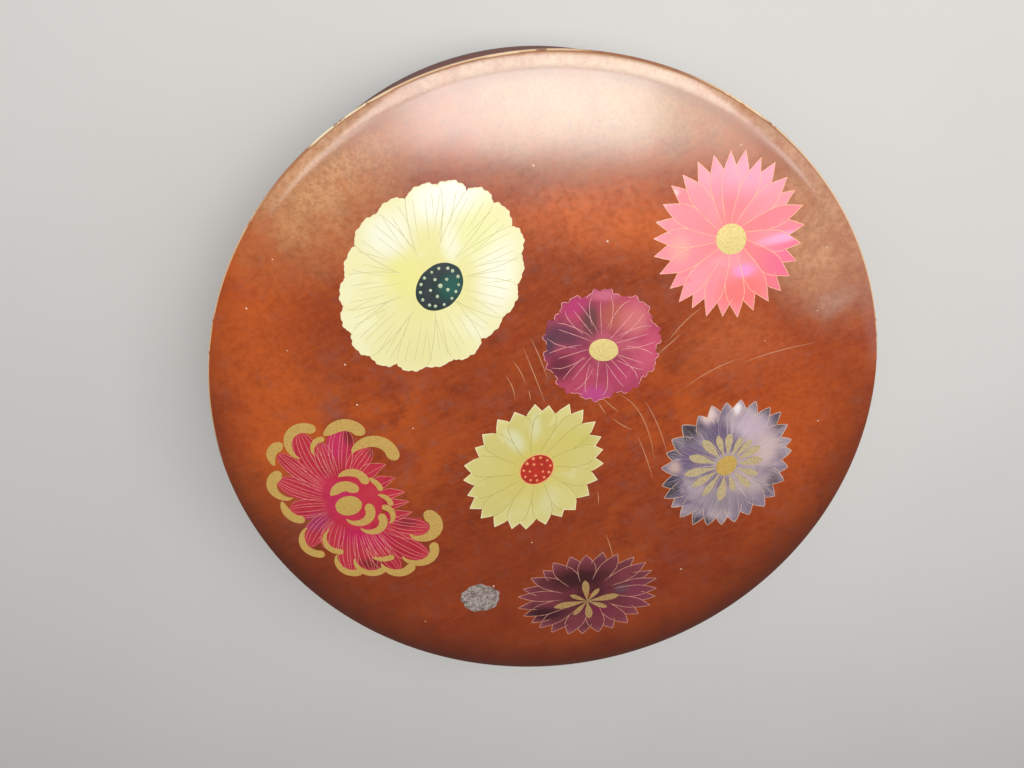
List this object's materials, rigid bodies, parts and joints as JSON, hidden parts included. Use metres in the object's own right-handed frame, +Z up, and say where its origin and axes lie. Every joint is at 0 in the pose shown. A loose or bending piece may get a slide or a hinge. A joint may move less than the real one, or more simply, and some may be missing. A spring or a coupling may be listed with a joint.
{
  "type": "round lacquer box",
  "caption": "Low round box on a foot ring with a domed lift-off lid, inlaid with scattered chrysanthemum blossoms.",
  "frame": {"origin": "centre of the foot ring's underside, on the surface that the box stands on", "axes": "+Z up through the lid, +Y towards the top of the lid's picture, +X towards its right"},
  "size_m": [0.303, 0.303, 0.1057],
  "materials": {
    "lid_lacquer": "wood under translucent red-brown lacquer, polished, mottled, with fine scratches",
    "body_lacquer": "wood under dark red-brown lacquer, polished",
    "base_lacquer": "wood under black lacquer, satin",
    "inner_lacquer": "wood under black lacquer, gloss",
    "white_shell": "ivory shell plate, polished flush, engraved lines",
    "green_shell": "dark green shell plate with pale gold dots",
    "pink_shell": "pink-tinted shell plate with gold outlines",
    "plum_shell": "plum-tinted shell plate with gold hairlines",
    "yellow_shell": "pale yellow shell plate, engraved lines",
    "red_shell": "red shell plate with gold dots",
    "lilac_shell": "grey-violet shell plate with silvery sheen",
    "dark_shell": "dark plum shell plate with gold outlines",
    "crimson_shell": "crimson-tinted shell plate with gold curled petals",
    "gold": "gold leaf, satin"
  },
  "bodies": {
    "box": {"foot_ring": "body_lacquer", "bottom_board": "base_lacquer", "body_hoop": "body_lacquer", "lining_hoop": "inner_lacquer"},
    "lid": {"lid_hoop": "body_lacquer", "lid_board": "lid_lacquer", "white_blossom": "white_shell", "white_blossom_eye": "green_shell", "pink_blossom": "pink_shell", "pink_blossom_eye": "gold", "plum_blossom": "plum_shell", "plum_blossom_eye": "gold", "yellow_blossom": "yellow_shell", "yellow_blossom_eye": "red_shell", "lilac_blossom": "lilac_shell", "lilac_blossom_eye": "gold", "dark_blossom": "dark_shell", "dark_blossom_eye": "gold", "crimson_blossom": "crimson_shell", "crimson_blossom_eye": "gold"}
  },
  "joints": [
    {"name": "lid_lift", "type": "slide", "parent": "box", "child": "lid", "axis": [0, 0, 1], "range_m": [0, 0.15]}
  ]
}
